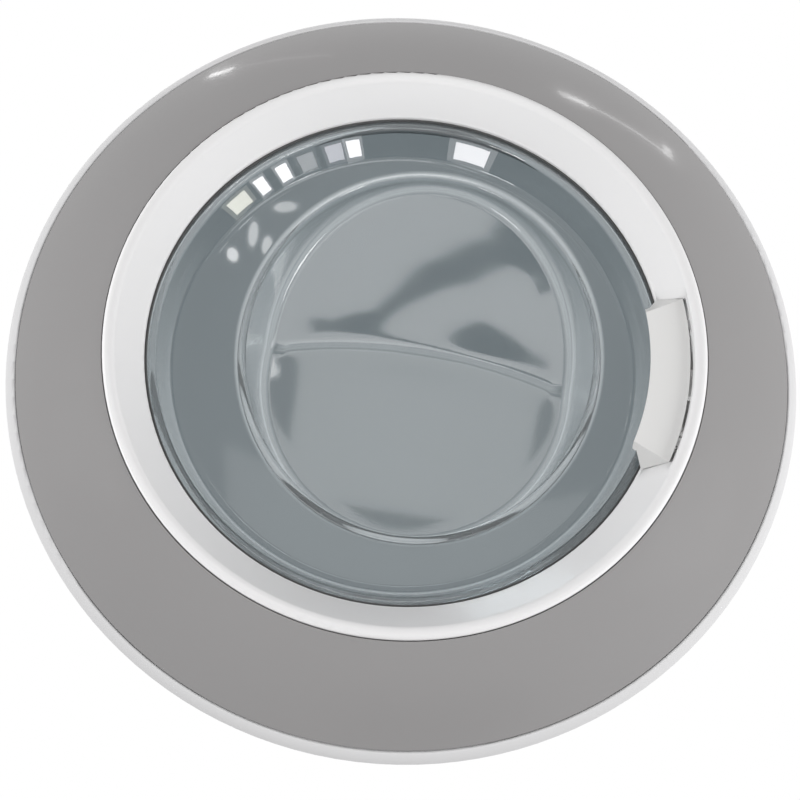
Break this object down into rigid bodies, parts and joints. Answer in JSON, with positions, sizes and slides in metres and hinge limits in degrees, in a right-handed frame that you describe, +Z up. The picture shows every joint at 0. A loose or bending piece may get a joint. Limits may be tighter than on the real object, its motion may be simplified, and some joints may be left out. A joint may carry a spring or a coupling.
{
  "type": "washing machine door",
  "caption": "Round front-loader washing machine door with a glass bowl, domed grey trim ring, white window surround, pull handle, sprung latch hook and side hinge.",
  "frame": {"origin": "middle of the hinge leaf's two screw holes, on the face that meets the cabinet", "axes": "+Z up along the hinge axis, +Y into the cabinet, so the door's front faces -Y and the handle is at +X"},
  "size_m": [0.4699, 0.1192, 0.47],
  "materials": {
    "rim_plastic": "satin pearl white",
    "grey_trim": "gloss warm grey",
    "white_plastic": "semi-gloss white",
    "bowl_glass": "clear pressed glass",
    "seal_rubber": "matt black",
    "rear_plastic": "light grey moulding",
    "handle_plastic": "semi-gloss off-white",
    "screw_steel": "zinc plated",
    "pin_steel": "ground",
    "spring_steel": "drawn wire",
    "hook_metal": "zinc casting",
    "plate_steel": "pressed sheet",
    "hinge_metal": "light grey paint",
    "bush_plastic": "natural nylon"
  },
  "bodies": {
    "hinge_mount": {"hinge_cabinet_leaf": "hinge_metal", "hinge_pin": "pin_steel"},
    "door": {"front_frame": "rim_plastic", "trim_ring": "grey_trim", "window_surround": "white_plastic", "glass_bowl": "bowl_glass", "glass_seal": "seal_rubber", "rear_frame": "rear_plastic", "frame_screws": "screw_steel", "surround_screws": "screw_steel", "handle_pin": "pin_steel", "handle_spring": "spring_steel", "latch_pin": "pin_steel", "latch_spring": "spring_steel", "latch_plate": "plate_steel", "latch_screws": "screw_steel", "hinge_door_leaf": "hinge_metal", "hinge_bush_upper": "bush_plastic", "hinge_bush_lower": "bush_plastic", "hinge_screws": "screw_steel"},
    "handle": {"handle_lever": "handle_plastic"},
    "latch": {"latch_hook": "hook_metal"}
  },
  "joints": [
    {"name": "door_swing", "type": "hinge", "parent": "hinge_mount", "child": "door", "pos_m": [-0.039, -0.01, 0], "axis": [0, 0, -1], "range_deg": [0, 140]},
    {"name": "handle_pull", "type": "hinge", "parent": "door", "child": "handle", "pos_m": [0.338, -0.0364, 0], "axis": [0, 0, 1], "range_deg": [0, 14], "stiffness_Nm_per_rad": 0.2, "springref_deg": -11.46, "deforming": ["handle_spring"]},
    {"name": "hook_release", "type": "hinge", "parent": "door", "child": "latch", "pos_m": [0.365, -0.022, 0], "axis": [0, 0, -1], "range_deg": [0, 7], "deforming": ["latch_spring"]}
  ],
  "couplings": [
    {"joint": "hook_release", "follows": "handle_pull", "ratio": 0.4835}
  ]
}
